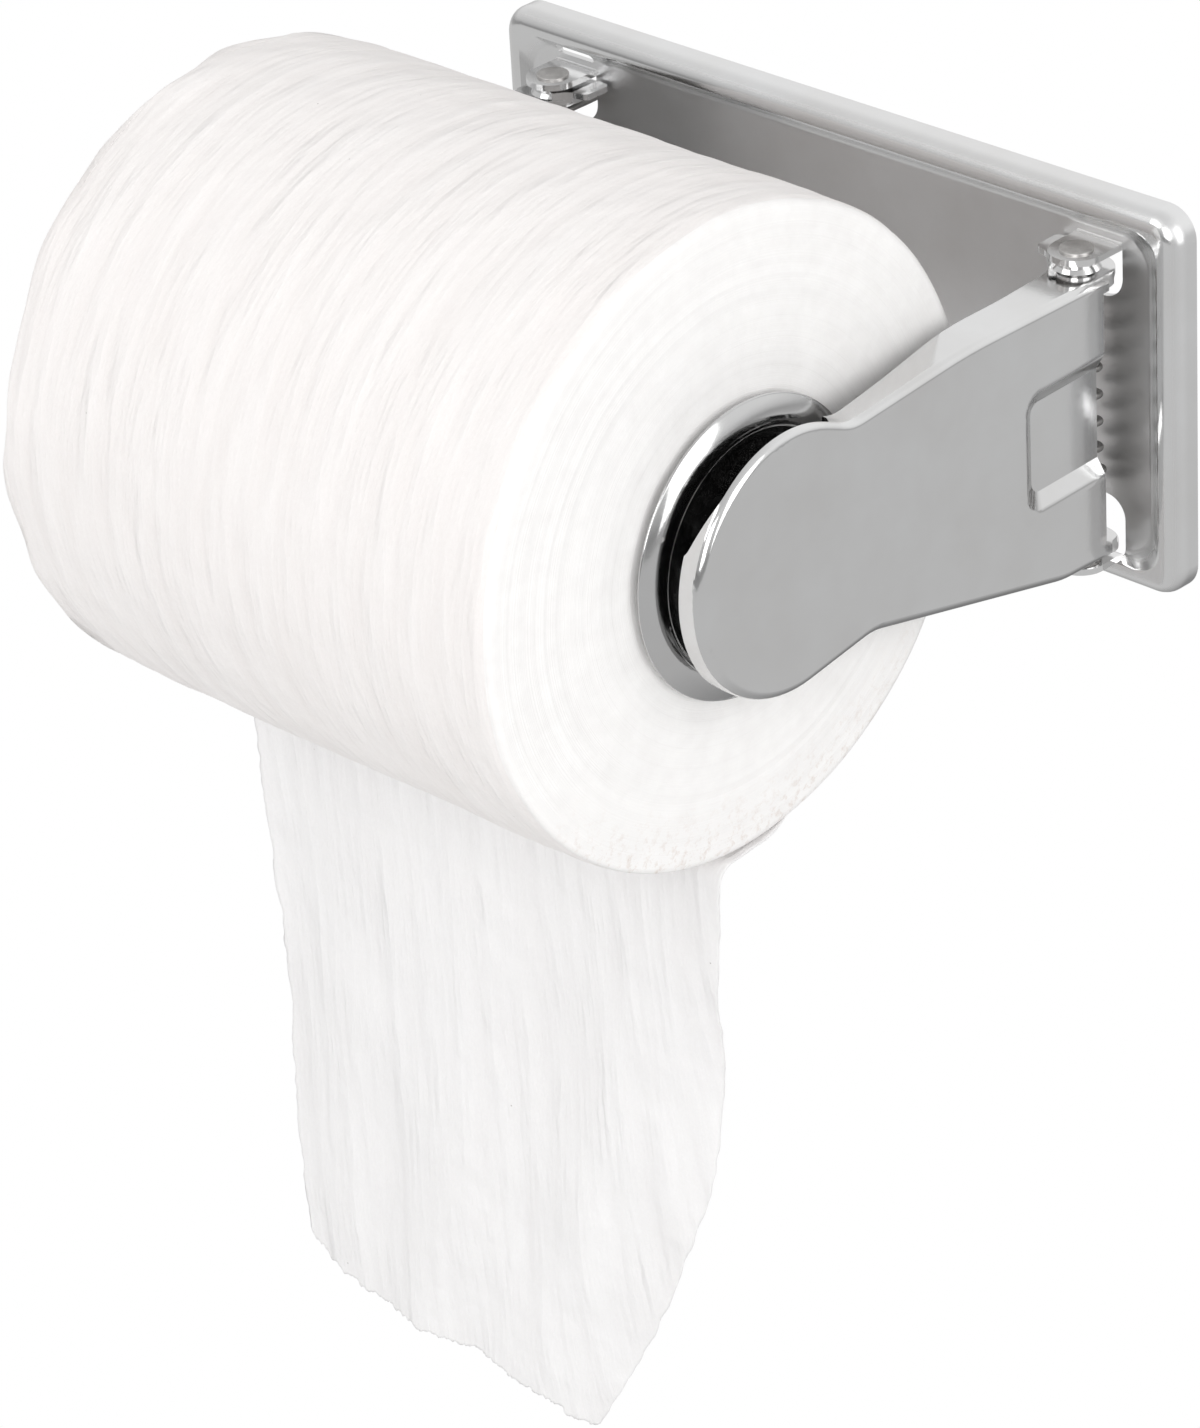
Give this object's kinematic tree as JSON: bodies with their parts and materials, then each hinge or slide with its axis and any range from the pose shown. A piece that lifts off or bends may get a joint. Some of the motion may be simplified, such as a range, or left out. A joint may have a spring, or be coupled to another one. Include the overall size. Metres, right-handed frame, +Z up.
{
  "type": "toilet paper dispenser",
  "caption": "Wall-mounted toilet paper dispenser: chrome plate, sprung swinging arms with spinning hubs, and a loaded roll with a hanging torn sheet.",
  "frame": {"origin": "centre of the plate's back, in the wall plane", "axes": "+X to the right seen from the front, -Y out of the wall, +Z up"},
  "size_m": [0.1524, 0.1452, 0.2535],
  "materials": {
    "chrome_plate": "bright chrome plated steel",
    "plain_steel": "plain zinc steel",
    "black_plastic": "glossy black",
    "core_board": "grey-brown board",
    "wound_tissue": "soft white tissue",
    "loose_tissue": "soft white tissue"
  },
  "bodies": {
    "plate": {"wall_plate": "chrome_plate", "right_pivot_pin": "plain_steel", "left_pivot_pin": "plain_steel"},
    "right_arm_body": {"right_arm": "chrome_plate", "right_upper_washer": "plain_steel", "right_lower_washer": "plain_steel", "right_hub_stud": "plain_steel", "right_hub_retainer": "plain_steel", "right_arm_spring": "plain_steel"},
    "left_arm_body": {"left_arm": "chrome_plate", "left_upper_washer": "plain_steel", "left_lower_washer": "plain_steel", "left_hub_stud": "plain_steel", "left_hub_retainer": "plain_steel", "left_arm_spring": "plain_steel"},
    "right_hub_body": {"right_hub": "chrome_plate", "right_hub_bush": "black_plastic"},
    "left_hub_body": {"left_hub": "chrome_plate", "left_hub_bush": "black_plastic"},
    "roll": {"core_tube": "core_board", "paper_roll": "wound_tissue"},
    "tail": {"tail_sheet": "loose_tissue"}
  },
  "joints": [
    {"name": "right_arm_swing", "type": "hinge", "parent": "plate", "child": "right_arm_body", "pos_m": [0.0594, -0.0102, 0], "axis": [0, 0, 1], "range_deg": [0, 66], "stiffness_Nm_per_rad": 0.06, "springref_deg": -28.65, "deforming": ["right_arm_spring"]},
    {"name": "left_arm_swing", "type": "hinge", "parent": "plate", "child": "left_arm_body", "pos_m": [-0.0594, -0.0102, 0], "axis": [0, 0, -1], "range_deg": [0, 66], "stiffness_Nm_per_rad": 0.06, "springref_deg": -28.65, "deforming": ["left_arm_spring"]},
    {"name": "roll_spin", "type": "hinge", "parent": "plate", "child": "roll", "pos_m": [0, -0.0892, 0.005], "axis": [-1, 0, 0], "range_deg": [0, 208]},
    {"name": "right_hub_spin", "type": "hinge", "parent": "right_arm_body", "child": "right_hub_body", "pos_m": [0.053, -0.0892, 0.005], "axis": [-1, 0, 0], "range_deg": [0, 208]},
    {"name": "left_hub_spin", "type": "hinge", "parent": "left_arm_body", "child": "left_hub_body", "pos_m": [-0.053, -0.0892, 0.005], "axis": [-1, 0, 0], "range_deg": [0, 208]},
    {"name": "tail_pull", "type": "slide", "parent": "plate", "child": "tail", "axis": [0, 0, -1], "range_m": [0, 0.204], "deforming": ["tail_sheet"]}
  ],
  "couplings": [
    {"joint": "right_hub_spin", "follows": "roll_spin", "ratio": 1},
    {"joint": "left_hub_spin", "follows": "roll_spin", "ratio": 1},
    {"joint": "tail_pull", "follows": "roll_spin", "m_per_rad": 0.056}
  ]
}
